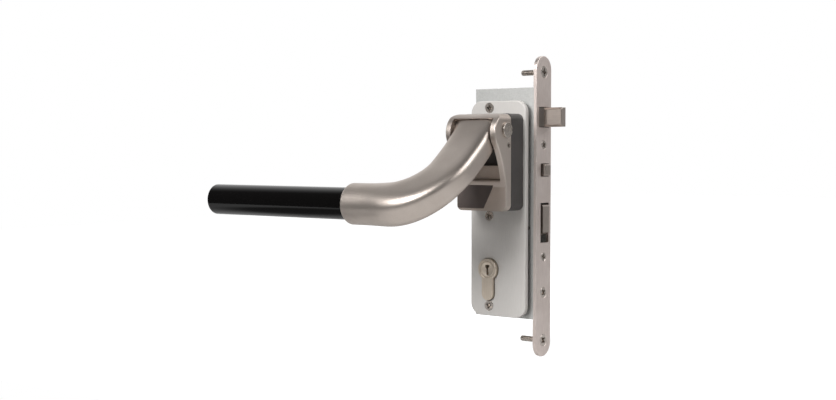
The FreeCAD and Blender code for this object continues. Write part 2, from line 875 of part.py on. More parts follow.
def bush_spans():
    half = arm_width / 2
    left = plate_mid_x - half
    right = plate_mid_x + half
    return [(left, left + bush_length), (right, right - bush_length)]


def make_hub_bushes():
    rings = []
    for start, end in bush_spans():
        ring = rod(X_AXIS, Vector(start, pivot_y, pivot_z), end, pin_radius + bush_wall)
        rings.append(ring.cut(rod(X_AXIS, Vector(start, pivot_y, pivot_z), end, pin_radius + running_gap)))
    write("hub_bushes", *rings)


def segment_seat():
    """Slot in the hub that holds the toothed segment."""
    x0 = segment_mid_x - segment_width / 2
    ring = rod(X_AXIS, Vector(x0, pivot_y, pivot_z), x0 + segment_width, segment_seat_radius)
    ring = ring.cut(rod(X_AXIS, Vector(x0, pivot_y, pivot_z), x0 + segment_width, segment_bore))
    return ring.common(segment_wedge())


def segment_wedge():
    """Slice of space about the pivot that the toothed segment fills."""
    step = pi * tooth_module / segment_pitch
    low = -segment_below() - step / 2
    points = [(pivot_y, pivot_z)]
    for share in (1, 2 / 3, 1 / 3, 0):
        points.append((pivot_y + long_cut * cos(low * share), pivot_z + long_cut * sin(low * share)))
    x0 = segment_mid_x - segment_width / 2
    return slab_yz(points, x0, x0 + segment_width)


def segment_below():
    """Angle from the meshing point down to the last tooth of the segment."""
    step = pi * tooth_module / segment_pitch
    return step * (ceil(bar_swing / step) + 0.5)


def make_hub_segment():
    step = pi * tooth_module / segment_pitch
    first = -segment_below()
    count = ceil(bar_swing / step) + 1
    outline = gear_outline(segment_pitch, first, count)
    points = [(pivot_y, pivot_z)]
    points += [(pivot_y + r * cos(a), pivot_z + r * sin(a)) for r, a in outline]
    x0 = segment_mid_x - segment_width / 2
    teeth = slab_yz(points, x0, x0 + segment_width)
    root = segment_pitch - dedendum * tooth_module
    rim = rod(X_AXIS, Vector(x0, pivot_y, pivot_z), x0 + segment_width, root).common(segment_wedge())
    body = joined([teeth, rim])
    body = body.cut(rod(X_AXIS, Vector(x0 - past, pivot_y, pivot_z), x0 + segment_width + past, segment_bore))
    write("hub_segment", body.common(segment_wedge()))


def grub_way():
    """Direction of the grub screw: downwards and back towards the door."""
    return Vector(0, sin(grub_lean), -cos(grub_lean))


def make_bar():
    end = socket_end_x + socket_depth - bar_end_gap
    tube = rod(X_AXIS, Vector(bar_end_x, bar_y, bar_z), end, bar_radius)
    tube = tube.cut(rod(X_AXIS, Vector(bar_end_x, bar_y, bar_z), end, bar_radius - bar_wall))
    write("push_bar", tube)
    outer = socket_radius - grub_sunk
    start = Vector(grub_x, bar_y, bar_z) + grub_way() * outer
    write("bar_grub_screw", grub(start, grub_way(), grub_radius, outer - bar_radius - running_gap))


def square_bar(y0, y1, side):
    return block((-side / 2, side / 2), (y0, y1), (-side / 2, side / 2))


def make_pinion():
    """Pinion with a journal for the plate's bush and a nose in the box's front wall."""
    outline = gear_outline(pinion_pitch, 0.0, pinion_teeth)
    teeth = slab_xz([(r * cos(a), r * sin(a)) for r, a in outline], rack_face_y, -rack_back)
    core = rod(Y_AXIS, Vector(0, rack_face_y, 0), -rack_back, pinion_pitch - dedendum * tooth_module)
    journal = rod(Y_AXIS, Vector(0, -rack_back, 0), -side_gap, journal_radius)
    nose = rod(Y_AXIS, Vector(0, rack_face_y, 0), box_face_y + side_gap, nose_radius)
    body = joined([teeth, core, journal, nose])
    hole = square_bar(rack_face_y + pinion_floor, 0, spindle_side + 2 * spindle_play)
    write("spindle_pinion", body.cut(hole))


def make_spindle():
    bar = square_bar(rack_face_y + pinion_floor + spindle_end_gap, case_high_y - side_gap, spindle_side)
    write("square_spindle", rounded(bar, spindle_round, lambda e: runs_along(e, Y_AXIS)))


def make_rack():
    """Rack: teeth for the hub on its front, teeth for the pinion on its side, foot for the spring."""
    pitch = pi * tooth_module
    front_count = ceil(rack_travel / pitch) + 2
    front_first = pivot_z - (front_count - 1) * pitch
    front = rack_outline(front_count, front_first)
    low_z = front_first - pitch / 2
    top_z = pivot_z + pitch / 2 - tooth_play
    front_points = [(rack_face_y + past, low_z)]
    front_points += [(rack_face_y + (0 if h < 0 else -h - dedendum), z) for h, z in front]
    front_points.append((rack_face_y + past, top_z))
    teeth_x = segment_mid_x - segment_width / 2
    front_teeth = slab_yz(front_points, teeth_x, rack_right_x)
    side_count = ceil(rack_travel / pitch) + 2
    side_first = pitch / 2 - (side_count - 1) * pitch
    side = rack_outline(side_count, side_first)
    shank_right = rack_right_x - tongue_reach
    points = [(rack_left_x, rack_foot_z - rack_foot_thick)]
    points += [(pinion_pitch - h if h > 0 else rack_left_x, z) for h, z in side]
    points += [(rack_left_x, top_z), (rack_right_x, top_z), (rack_right_x, low_z), (shank_right, low_z)]
    foot_right = rack_spring_x() + rack_spring_radius + rack_spring_wire
    points += [(shank_right, rack_foot_z), (foot_right, rack_foot_z)]
    points.append((foot_right, rack_foot_z - rack_foot_thick))
    body = slab_xz(points, rack_face_y, -rack_back)
    tongue_y = (pinion_mid_y - tongue_high / 2, pinion_mid_y + tongue_high / 2)
    tongue = block((shank_right - past, rack_right_x), tongue_y, (guide_low_z + tongue_rise, low_z + past))
    write("drive_rack", joined([body, front_teeth, tongue]))


def rack_spring_x():
    return rack_right_x - tongue_reach + rack_spring_radius + rack_spring_wire + side_gap


def make_rack_spring():
    place = Vector(rack_spring_x(), pinion_mid_y, rack_foot_z)
    length = guide_low_z - rack_foot_z
    sizes = (rack_spring_radius, rack_spring_wire, rack_spring_turns)
    write("rack_spring", coil_spring(place, Z_AXIS, length, *sizes))


def post_places():
    """Posts that hold the cover of the lock case, as pairs of x and z."""
    back = case_back_x + case_wall + 2 * post_radius
    front = face_inner_x - case_wall - 2.5 * post_radius
    low = case_bottom + case_wall + 3.5 * post_radius
    top = case_top - case_wall - 2 * post_radius
    corners = [(back, top), (front, top), (back, low), (front, low)]
    return corners + [(back, slide_post_z), (slide_post_x, slide_post_z)]


def bolt_openings(x0, x1):
    """Cuts for latch, trigger and hook through the faceplate and the front wall of the case."""
    inner_low = case_low_y + case_wall
    side = (case_thick - 2 * case_wall - latch_wide) / 2
    rise = latch_high / 2 + opening_gap
    latch_y = (inner_low + side - opening_gap / 2, inner_low + side + latch_wide + opening_gap / 2)
    bolt_y = (bolt_slot_low_y, bolt_slot_high_y)
    return [
        block((x0, x1), latch_y, (latch_z - rise, latch_z + rise)),
        block((x0, x1), bolt_y, (trigger_z - trigger_slot_high / 2, trigger_z + trigger_slot_high / 2)),
        block((x0, x1), bolt_y, (hook_slot_bottom, hook_slot_top)),
    ]


def make_lock_case():
    """Tray of the lock: floor on the bar's side, walls all round, cover riveted on."""
    x = (case_back_x, case_front_x)
    z = (case_bottom, case_top)
    inner_y = case_low_y + case_wall
    cover_y = case_high_y - case_wall
    tray = block(x, (case_low_y, cover_y), z)
    inner_z = (z[0] + case_wall, z[1] - case_wall)
    tray = tray.cut(block((x[0] + case_wall, x[1] - case_wall), (inner_y, cover_y), inner_z))
    stop_z = (trigger_z - trigger_high / 2, trigger_z + trigger_high / 2)
    stop_x = (trigger_stop_x, trigger_stop_x + trigger_stop_thick)
    stop = block(stop_x, (inner_y - case_wall / 2, bolt_mid_y + bolt_thick / 3), stop_z)
    tray = joined([tray, stop])
    cover = block(x, (cover_y, case_high_y), z)
    under = case_low_y - past
    over = case_high_y + past
    through = [euro_solid(under, over, slide_seat_gap)]
    through.append(rod(Y_AXIS, Vector(0, under, 0), over, follower_journal + running_gap))
    rivets = [(px, pz) for px, pz in post_places()] + [(hook_pivot_x, hook_pivot_z)]
    for px, pz in rivets:
        through.append(rod(Y_AXIS, Vector(px, under, pz), over, rivet_radius + rivet_gap))
    front = bolt_openings(x[1] - case_wall - past, x[1] + past)
    for place, sizes in small_face_screws():
        start = Vector(x[1] + past, place.y, place.z)
        front.append(rod(X_AXIS, start, x[1] - case_wall - past, sizes[1] + screw_gap))
    write("lock_case", cut_by(tray, through + front))
    write("lock_cover", cut_by(cover, through))


def riveted_post(px, pz, radius):
    """Post between floor and cover with a thinner rivet through each."""
    inner_y = case_low_y + case_wall
    cover_y = case_high_y - case_wall
    middle = rod(Y_AXIS, Vector(px, inner_y, pz), cover_y, radius)
    spigot = rod(Y_AXIS, Vector(px, case_low_y, pz), case_high_y, rivet_radius)
    return joined([middle, spigot])


def make_posts():
    write("case_posts", *[riveted_post(px, pz, post_radius) for px, pz in post_places()])
    write("hook_pivot_pin", riveted_post(hook_pivot_x, hook_pivot_z, hook_pin_radius))


def large_face_screws():
    heights = (face_top - face_screw_inset, face_bottom + face_screw_inset)
    return [(Vector(backset, lock_mid_y, z), face_screw) for z in heights]


def small_face_screws():
    """The case's own two screws and the cylinder's fixing screw."""
    places = [(Vector(backset, lock_mid_y, z), case_screw) for z in (case_screw_top_z, case_screw_low_z)]
    places.append((Vector(backset, lock_mid_y, cylinder_z - cylinder_screw_drop), cylinder_screw))
    return places


def make_faceplate():
    y = (lock_mid_y - face_width / 2, lock_mid_y + face_width / 2)
    plate = block((face_inner_x, backset), y, (face_bottom, face_top))
    plate = rounded(plate, face_corner, lambda e: runs_along(e, X_AXIS))
    plate = rounded(plate, face_edge_round, lambda e: lies(e, x=backset))
    tools = bolt_openings(face_inner_x - past, backset + past)
    seat_z = (case_bottom - case_seat_gap, case_top + case_seat_gap)
    tools.append(block((face_inner_x - past, case_front_x), (y[0] - past, y[1] + past), seat_z))
    for place, sizes in large_face_screws() + small_face_screws():
        tools.append(screw_hole(place, X_AXIS, sizes, face_thick + past))
    write("faceplate", cut_by(plate, tools))
    write("faceplate_screws", *[screw(p, X_AXIS, s, face_thick) for p, s in large_face_screws()])
    small = small_face_screws()
    write("case_screws", *[screw(p, X_AXIS, s) for p, s in small[:2]])
    write("cylinder_screw", screw(*[small[2][0], X_AXIS, small[2][1]]))


def make_follower():
    """Follower of the lock with the finger that draws the latch."""
    y = (lock_mid_y - finger_thick / 2, lock_mid_y + finger_thick / 2)
    disc = rod(Y_AXIS, Vector(0, y[0], 0), y[1], follower_radius)
    hub = rod(Y_AXIS, Vector(0, case_low_y + follower_gap, 0), case_high_y - follower_gap, follower_journal)
    lean = spindle_turn / 2
    tip = (finger_radius * sin(lean), finger_radius * cos(lean))
    side = (cos(lean) * finger_tip, -sin(lean) * finger_tip)
    points = [(-side[0], -side[1]), side]
    points += [(tip[0] + side[0], tip[1] + side[1]), (tip[0] - side[0], tip[1] - side[1])]
    finger = slab_xz(points, y[0], y[1])
    end = rod(Y_AXIS, Vector(tip[0], y[0], tip[1]), y[1], finger_tip)
    body = joined([disc, hub, finger, end])
    hole = square_bar(case_low_y - past, case_high_y + past, spindle_side + 2 * spindle_play)
    write("follower", body.cut(hole))
    return tip[0] - finger_tip


def make_latch():
    inner_low = case_low_y + case_wall
    side = (case_thick - 2 * case_wall - latch_wide) / 2
    low_y = inner_low + side
    high_y = low_y + latch_wide
    end_x = backset + latch_throw
    ramp_x = backset + opening_gap
    ramp_start = ramp_x - (latch_step_y - low_y)
    points = [(latch_inner_x, low_y), (ramp_start, low_y), (ramp_x, latch_step_y), (end_x, latch_step_y),
              (end_x, high_y - latch_back_chamfer[1]), (end_x - latch_back_chamfer[0], high_y),
              (latch_inner_x, high_y)]
    face = outline_face(points, lambda x, y: Vector(x, y, latch_z - latch_high / 2))
    head = face.extrude(Vector(0, 0, latch_high))
    for sign in (-1, 1):
        edge_z = latch_z + sign * latch_high / 2
        reach = latch_chamfer + past
        corner = [(latch_step_y - past, edge_z + sign * past), (latch_step_y - past, edge_z - sign * reach),
                  (latch_step_y + reach, edge_z + sign * past)]
        head = head.cut(slab_yz(corner, ramp_x, end_x + past))
    head = rounded(head, latch_end_round, lambda e: lies(e, x=end_x))
    tail_y = (lock_mid_y - tail_thick / 2, lock_mid_y + tail_thick / 2)
    lug_right = finger_contact_x - lug_gap
    lug_left = lug_right - lug_wide
    tail = block((lug_left, latch_inner_x + tail_grip), tail_y, (tail_low, tail_top))
    lug_y = (lock_mid_y - finger_thick / 2, lock_mid_y + finger_thick / 2)
    lug = block((lug_left, lug_right), lug_y, (lug_low, tail_low + past))
    tail = joined([tail, lug])
    write("latch_bolt", head.cut(tail))
    write("latch_tail", tail)
    start = Vector(case_back_x + case_wall, lock_mid_y, latch_spring_z)
    length = latch_inner_x - start.x
    sizes = (latch_spring_radius, latch_spring_wire, latch_spring_turns)
    write("latch_spring", coil_spring(start, X_AXIS, length, *sizes))


def make_trigger():
    y = (bolt_mid_y - bolt_thick / 2, bolt_mid_y + bolt_thick / 2)
    z = (trigger_z - trigger_high / 2, trigger_z + trigger_high / 2)
    body = block((trigger_inner_x, backset + trigger_proud), y, z)
    body = rounded(body, trigger_round, lambda e: lies(e, x=backset + trigger_proud))
    collar_z = (z[0] - trigger_collar, z[1] + trigger_collar)
    collar = block((trigger_inner_x, case_front_x - case_wall - side_gap), y, collar_z)
    write("trigger", joined([body, collar]))
    start = Vector(trigger_stop_x + trigger_stop_thick, bolt_mid_y, trigger_z)
    length = trigger_inner_x - start.x
    sizes = (trigger_spring_radius, trigger_spring_wire, trigger_spring_turns)
    write("trigger_spring", coil_spring(start, X_AXIS, length, *sizes))


def hook_drive_place():
    """Middle of the hook's drive pin at rest."""
    lean = hook_swing / 2
    return hook_pivot_x - hook_drive_arm * cos(lean), hook_pivot_z - hook_drive_arm * sin(lean)


def make_hook():
    flush = backset + hook_proud - hook_pivot_x
    shape = [(0, -hook_hub), (flush / 2, -hook_hub), (flush, hook_front_low), (flush, hook_end - hook_corner),
             (flush - hook_corner, hook_end)] + hook_back + [(-hook_hub, 0)]
    y = (bolt_mid_y - bolt_thick / 2, bolt_mid_y + bolt_thick / 2)
    blade = slab_xz([(hook_pivot_x + x, hook_pivot_z + z) for x, z in shape], y[0], y[1])
    pivot = Vector(hook_pivot_x, y[0], hook_pivot_z)
    hub = rod(Y_AXIS, pivot, y[1], hook_hub)
    px, pz = hook_drive_place()
    lobe = rod(Y_AXIS, Vector(px, y[0], pz), y[1], hook_drive_pin + hook_lobe_wall)
    pin_low = case_low_y + case_wall + slide_seat_gap
    pin = rod(Y_AXIS, Vector(px, y[0] + past, pz), pin_low, hook_drive_pin)
    body = joined([blade, hub, lobe, pin])
    hole = rod(Y_AXIS, Vector(hook_pivot_x, 0, hook_pivot_z), long_cut, hook_pin_radius + running_gap)
    write("hook_bolt", body.cut(hole))


def make_drive_slide():
    """Plate that joins the cylinder's cam to the hook's drive pin."""
    low_y = case_low_y + case_wall + slide_seat_gap
    y = (low_y, low_y + slide_thick)
    plate = block((slide_left_x, slide_right_x), y, (slide_low_z, slide_top_z))
    pz = hook_drive_place()[1]
    half = hook_drive_pin + slide_slot_gap
    slot_left = hook_pivot_x - hook_drive_arm - half
    slot = block((slot_left, slide_right_x + past), y, (pz - half, pz + half))
    travel = slide_travel()
    wide = post_radius + guide_gap
    guide = joined([
        block((slide_post_x - wide, slide_post_x + wide), y, (slide_post_z - travel, slide_post_z)),
        rod(Y_AXIS, Vector(slide_post_x, y[0], slide_post_z), y[1], wide),
        rod(Y_AXIS, Vector(slide_post_x, y[0], slide_post_z - travel), y[1], wide),
    ])
    lug_low_z = cylinder_z + cam_radius + slide_lug_gap
    lug = block((-slide_lug_half, slide_lug_half), (low_y, lock_mid_y), (lug_low_z, slide_low_z + past))
    write("drive_slide", joined([cut_by(plate, [slot, guide]), lug]))


def slide_travel():
    return 2 * hook_drive_arm * sin(hook_swing / 2)


def make_cylinder():
    body = euro_solid(cylinder_low_y, cylinder_high_y)
    gap_y = (lock_mid_y - cam_wide / 2, lock_mid_y + cam_wide / 2)
    wide = 2 * cylinder_radius
    cam_space = block((-wide, wide), gap_y, (cylinder_z - bridge_top, cylinder_z + wide))
    bore = rod(Y_AXIS, Vector(0, cylinder_low_y, cylinder_z), cylinder_high_y, plug_radius + plug_gap)
    place = Vector(-wide, lock_mid_y, cylinder_z - cylinder_screw_drop)
    thread = rod(X_AXIS, place, wide, cylinder_screw[1] + running_gap)
    body = body.cut(bore)
    body = rounded(body, cylinder_edge_round, lambda e: lies(e, y=cylinder_low_y) or lies(e, y=cylinder_high_y))
    write("cylinder_body", cut_by(body, [cam_space, thread]))
    cam_y = (gap_y[0] + cam_gap, gap_y[1] - cam_gap)
    points = [(x, z + cylinder_z) for x, z in key_outline]
    keyway = slab_xz(points, cylinder_low_y - past, cylinder_low_y + key_deep)
    inner = rod(Y_AXIS, Vector(0, cylinder_low_y, cylinder_z), cam_y[0], plug_radius)
    write("key_plug", inner.cut(keyway))
    outer = rod(Y_AXIS, Vector(0, cylinder_high_y, cylinder_z), cam_y[1], plug_radius)
    far_points = [(-x, z + cylinder_z) for x, z in key_outline]
    far_keyway = slab_xz(far_points, cylinder_high_y + past, cylinder_high_y - key_deep)
    write("outside_plug", outer.cut(far_keyway))
    hub = rod(Y_AXIS, Vector(0, cam_y[0], cylinder_z), cam_y[1], cam_hub)
    tooth = block((-cam_tooth / 2, cam_tooth / 2), cam_y, (cylinder_z - cam_radius, cylinder_z))
    reach = rod(Y_AXIS, Vector(0, cam_y[0], cylinder_z), cam_y[1], cam_radius)
    write("cam", joined([hub, tooth.common(reach)]))


os.makedirs("parts", exist_ok=True)
make_long_plate()
make_plate_bush()
make_mechanism_box()
make_housing()
make_buffer()
make_body_screws()
make_pivot()
make_arm()
make_hub_bushes()
make_hub_segment()
make_bar()
make_pinion()
make_spindle()
make_rack()
make_rack_spring()
make_lock_case()
make_posts()
make_faceplate()
finger_contact_x = make_follower()
make_latch()
make_trigger()
make_hook()
make_drive_slide()
make_cylinder()

print("nodes", len(made))
print("rack travel", round(rack_travel, 3), "mm; rack per radian of the bar", round(segment_pitch, 3), "mm")
print("spindle per radian of the bar", round(segment_pitch / pinion_pitch, 5))
print("latch per radian of the bar", round(latch_travel / bar_swing, 4), "mm")
print("hook per millimetre of the slide", round(hook_swing / slide_travel(), 6), "rad")
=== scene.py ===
# %% [markdown]
# A push bar for an escape door: a black tube on a cast arm, a housing with two ears that holds the
# arm's pivot, a dark box behind it, a long plate on the door and the lock's edge plate with its
# bolts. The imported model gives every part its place, in metres, and this script dresses it. It sets
# up a small studio, writes one finish for each metal, rubber and plastic, and rebuilds the pieces
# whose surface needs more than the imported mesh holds.

# %% Load the frame
import json
from math import cos, pi, radians, sin

import bmesh
import bpy
from mathutils import Matrix, Vector


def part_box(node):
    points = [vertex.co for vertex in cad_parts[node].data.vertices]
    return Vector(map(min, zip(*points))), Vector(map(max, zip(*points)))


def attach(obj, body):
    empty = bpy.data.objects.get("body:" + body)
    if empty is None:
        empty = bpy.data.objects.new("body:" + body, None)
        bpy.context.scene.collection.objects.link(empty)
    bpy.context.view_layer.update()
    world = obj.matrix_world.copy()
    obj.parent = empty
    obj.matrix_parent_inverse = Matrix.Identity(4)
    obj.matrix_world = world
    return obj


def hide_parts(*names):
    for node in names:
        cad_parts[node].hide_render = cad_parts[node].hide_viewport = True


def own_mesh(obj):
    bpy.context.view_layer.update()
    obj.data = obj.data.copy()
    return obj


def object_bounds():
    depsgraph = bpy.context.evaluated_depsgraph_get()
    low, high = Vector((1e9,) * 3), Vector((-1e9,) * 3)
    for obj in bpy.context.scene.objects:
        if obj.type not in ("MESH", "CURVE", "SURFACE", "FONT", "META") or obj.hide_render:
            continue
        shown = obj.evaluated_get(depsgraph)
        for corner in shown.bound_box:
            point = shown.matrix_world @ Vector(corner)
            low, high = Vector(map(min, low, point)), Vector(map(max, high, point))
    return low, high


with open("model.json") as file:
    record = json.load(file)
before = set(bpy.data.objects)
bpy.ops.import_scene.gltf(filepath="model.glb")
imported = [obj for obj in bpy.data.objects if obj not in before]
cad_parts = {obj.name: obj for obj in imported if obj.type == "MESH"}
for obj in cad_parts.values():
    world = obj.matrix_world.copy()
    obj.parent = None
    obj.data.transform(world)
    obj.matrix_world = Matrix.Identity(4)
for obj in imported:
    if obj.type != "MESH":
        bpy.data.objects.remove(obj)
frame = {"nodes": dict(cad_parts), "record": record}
cad_low, cad_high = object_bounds()
mm = 0.001

# %% [markdown]
# The camera comes first, so that each piece can be judged from the same place. It stands to the
# right of the bar and turns 37 degrees to the left, and a long lens keeps the bar's far end from
# growing. The aim is tipped down a little, because the eye is level with the spindle.

# %% Camera
picture_width = 836
focal_pixels = 1200
sensor_width = 36.0
nearest_seen = 0.01
camera_place = (0.526, -0.7956, 0.0095)
camera_turn = radians(37.0)
camera_tip = radians(2.39)


def stand(name, data):
    """Put an object that shows this data in the scene."""
    thing = bpy.data.objects.new(name, data)
    bpy.context.scene.collection.objects.link(thing)
    return thing


def make_camera():
    """Stand the camera where the photo was taken from."""
    data = bpy.data.cameras.new("camera")
    data.sensor_width = sensor_width
    data.lens = focal_pixels / picture_width * sensor_width
    data.clip_start = nearest_seen
    camera = stand("camera", data)
    camera.location = camera_place
    camera.rotation_euler = (pi / 2 - camera_tip, 0, camera_turn)
    bpy.context.scene.camera = camera
    print("camera lens", round(data.lens, 2), "mm")


make_camera()

# %% [markdown]
# A finish is a small program: noise, streaks and sums that end in a colour, a roughness and a bump.
# Written node by node it is long and hard to read, so one class stands for "the number that leaves
# this node" and understands + - * with other such numbers, and one method adds any other node.


# %% Shader helper
class Wire:
    """What leaves one node, ready to be used in a sum such as 1 - mask * 0.5."""

    def __init__(self, tree, socket):
        self.tree = tree
        self.socket = socket

    def maths(self, operation, first, second):
        settings = {"operation": operation}
        return add_node(self.tree, "ShaderNodeMath", settings, {0: first, 1: second})

    def __add__(self, other):
        return self.maths("ADD", self, other)

    def __radd__(self, other):
        return self.maths("ADD", other, self)

    def __sub__(self, other):
        return self.maths("SUBTRACT", self, other)

    def __rsub__(self, other):
        return self.maths("SUBTRACT", other, self)

    def __mul__(self, other):
        return self.maths("MULTIPLY", self, other)

    def __rmul__(self, other):
        return self.maths("MULTIPLY", other, self)


def add_node(tree, kind, settings=None, inputs=None, output=0):
    """Add one node: its settings first, then each input as a value or as a wire."""
    node = tree.nodes.new(kind)
    for name, value in (settings or {}).items():
        setattr(node, name, value)
    for name, value in (inputs or {}).items():
        if isinstance(value, Wire):
            tree.links.new(value.socket, node.inputs[name])
        else:
            node.inputs[name].default_value = value
    return Wire(tree, node.outputs[output]) if node.outputs else None


def ramp(tree, value, reach, levels=(0.0, 1.0), shape="LINEAR"):
    """Map a reach of values onto two levels, and stop at both ends."""
    return add_node(tree, "ShaderNodeMapRange", {"interpolation_type": shape},
                    {"Value": value, "From Min": reach[0], "From Max": reach[1],
                     "To Min": levels[0], "To Max": levels[1]})


def linear(red, green, blue):
    """Colour written as it looks on a screen, 0 to 255, as the light that a shader needs."""
    shares = [c / 255 for c in (red, green, blue)]
    return [c / 12.92 if c <= 0.04045 else ((c + 0.055) / 1.055) ** 2.4 for c in shares] + [1.0]


print("half grey on a screen is", round(linear(128, 128, 128)[0], 3), "of white's light")

# %% [markdown]
# The studio is plain: a white surround, a pale floor and three soft lamps. The surround is the
# world, because real walls would have to be lit before they looked white. It is white for the
# camera and wherever metal mirrors what stands behind the object. To the front it is dimmer, as a
# room is behind a photographer, which is what makes the black tube look black. Matt surfaces get
# little light from it, so that the lamps shape them.

# %% Surround
room_level = 0.09                # light on matt surfaces
dark_level = 0.10                # what metal mirrors in front of the object, over white
backdrop_way = (-0.6, 0.8, 0.0)
backdrop_edge = (0.15, 0.75)     # cosines at which the dim front ends and full white starts


def make_surround():
    """Build the world, with one strength for each kind of ray."""
    world = bpy.data.worlds.new("studio")
    bpy.context.scene.world = world
    world.use_nodes = True
    tree = world.node_tree
    tree.nodes.clear()
    seen = add_node(tree, "ShaderNodeLightPath", output="Is Camera Ray")
    glossy = add_node(tree, "ShaderNodeLightPath", output="Is Glossy Ray")
    mirrored = glossy + add_node(tree, "ShaderNodeLightPath", output="Is Transmission Ray")
    way = add_node(tree, "ShaderNodeTexCoord", output="Generated")
    towards = add_node(tree, "ShaderNodeVectorMath", {"operation": "DOT_PRODUCT"},
                       {0: way, 1: backdrop_way}, "Value")
    level = ramp(tree, towards, backdrop_edge, (dark_level, 1.0), "SMOOTHSTEP")
    strength = seen + (1 - seen) * (mirrored * level + (1 - mirrored) * room_level)
    glow = add_node(tree, "ShaderNodeBackground", None,
                    {"Color": (1, 1, 1, 1), "Strength": strength})
    add_node(tree, "ShaderNodeOutputWorld", None, {"Surface": glow})
    bpy.context.scene.view_settings.view_transform = "Standard"
    print("surround: room level", room_level, "mirrored from", dark_level, "to 1")


make_surround()

# %% [markdown]
# The floor lies just under the lock and takes its shadow. A lit floor never quite reaches white, so
# this one also glows for the camera alone, and more so further out, where it melts into the
# surround. A photographer who wants a dark line on polished metal lays a black card beside it. The
# same is done here with the floor's own colour, which is dimmer in one place for mirrored rays.

# %% Floor
floor_gap = 0.0004
floor_edges = (-1.6, 2.6, -0.30, 3.2)
floor_white = 0.62
floor_glow = (0.74, 1.0)         # near the object and far from it
floor_glow_reach = (0.25, 0.9)   # metres from the origin
card_middle = (-0.23, -0.16, 0.0)
card_size = (0.13, 0.12)         # half its length and half its width
card_edge = 0.45                 # share of that size at which it starts to fade
card_loss = 0.5


def begin(name):
    """Start a finish with an empty node tree."""
    material = bpy.data.materials.new(name)
    material.use_nodes = True
    material.node_tree.nodes.clear()
    return material, material.node_tree


def card_share(tree, place):
    """What the floor loses of its white in a mirror, by how far a place is from the card."""
    beside = add_node(tree, "ShaderNodeVectorMath", {"operation": "SUBTRACT"},
                      {0: place, 1: card_middle})
    shares = (1 / card_size[0], 1 / card_size[1], 0.0)
    beside = add_node(tree, "ShaderNodeVectorMath", {"operation": "MULTIPLY"},
                      {0: beside, 1: shares})
    away = add_node(tree, "ShaderNodeVectorMath", {"operation": "LENGTH"}, {0: beside}, "Value")
    return ramp(tree, away, (card_edge, 1.0), (card_loss, 0.0), "SMOOTHSTEP")


def floor_finish():
    material, tree = begin("floor_white")
    seen = add_node(tree, "ShaderNodeLightPath", output="Is Camera Ray")
    mirrored = add_node(tree, "ShaderNodeLightPath", output="Is Glossy Ray")
    place = add_node(tree, "ShaderNodeTexCoord", output="Object")
    white = floor_white - mirrored * card_share(tree, place)
    matt = add_node(tree, "ShaderNodeBsdfDiffuse", None, {"Color": white})
    away = add_node(tree, "ShaderNodeVectorMath", {"operation": "LENGTH"}, {0: place}, "Value")
    melt = ramp(tree, away, floor_glow_reach, floor_glow, "SMOOTHSTEP")
    glow = add_node(tree, "ShaderNodeEmission", None, {"Color": seen * melt})
    both = add_node(tree, "ShaderNodeAddShader", None, {0: matt, 1: glow})
    add_node(tree, "ShaderNodeOutputMaterial", None, {"Surface": both})
    return material


def make_floor():
    """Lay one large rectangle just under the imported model."""
    left, right, near, far = floor_edges
    height = cad_low[2] - floor_gap
    mesh = bpy.data.meshes.new("floor")
    corners = [(left, near, height), (right, near, height),
               (right, far, height), (left, far, height)]
    mesh.from_pydata(corners, [], [(0, 1, 2, 3)])
    mesh.materials.append(floor_finish())
    floor = stand("floor", mesh)
    print("floor at", round(height, 4))


make_floor()

# %% [markdown]
# Three area lamps light the object: a key lamp in front, a rim lamp to the right and a little
# behind, and a small lamp above that draws the housing's shadow down the plate. In a mirror the
# last one would show as a second bright line along the arm, so mirrored rays don't see it.

# %% Lamps
lamp_rows = {
    # place, where it aims, its two sides, watts, whether metal mirrors it
    "key": ((-0.16, -1.05, 0.52), (0.0, -0.05, -0.02), (0.55, 0.55), 12.0, True),
    "rim": ((0.95, 0.28, 0.70), (0.0, -0.04, 0.0), (0.85, 0.85), 8.5, True),
    "top": ((0.06, -0.56, 1.05), (0.0, -0.04, 0.0), (0.40, 0.30), 8.6, False),
}


def make_lamps():
    """Hang the area lamps and turn each towards its aim."""
    for name, (place, aim, sides, watts, mirrored) in lamp_rows.items():
        data = bpy.data.lights.new(name, "AREA")
        data.shape = "RECTANGLE"
        data.size, data.size_y = sides
        data.energy = watts
        lamp = stand(name, data)
        lamp.location = place
        lamp.rotation_euler = (Vector(place) - Vector(aim)).to_track_quat("Z", "Y").to_euler()
        lamp.visible_glossy = mirrored
    print("lamps", ", ".join(lamp_rows))


make_lamps()

# %% [markdown]
# Most of the object is metal that was cast, ground or drawn, then plated or left bare. Up close it
# is never even: it has a fine grain, faint cloudy patches where the polish varies, and, where it
# was brushed, long thin streaks. One recipe makes them all. Stretching the noise along one axis
# turns grain into brushing, and the same noise drives the colour, the gloss and a very low bump.


# %% Noise, blend and bump
def finish_material(tree, settings):
    """Add the surface shader with its settings and wires, and plug it in."""
    surface = add_node(tree, "ShaderNodeBsdfPrincipled", None, settings)
    add_node(tree, "ShaderNodeOutputMaterial", None, {"Surface": surface})


def noise(tree, scale, stretch=(1, 1, 1), detail=3.0, roughness=0.6, distortion=0.0):
    """Noise on the piece's own metres; a stretch under 1 draws it out along that axis."""
    place = add_node(tree, "ShaderNodeTexCoord", output="Object")
    place = add_node(tree, "ShaderNodeMapping", None, {"Vector": place, "Scale": stretch})
    return add_node(tree, "ShaderNodeTexNoise", None,
                    {"Vector": place, "Scale": scale, "Detail": detail, "Roughness": roughness,
                     "Distortion": distortion})


def blend(tree, share, first, second):
    """Colour between two, at a share from 0 to 1."""
    settings = {"data_type": "RGBA", "clamp_factor": True}
    return add_node(tree, "ShaderNodeMix", settings, {0: share, 6: first, 7: second}, output=2)


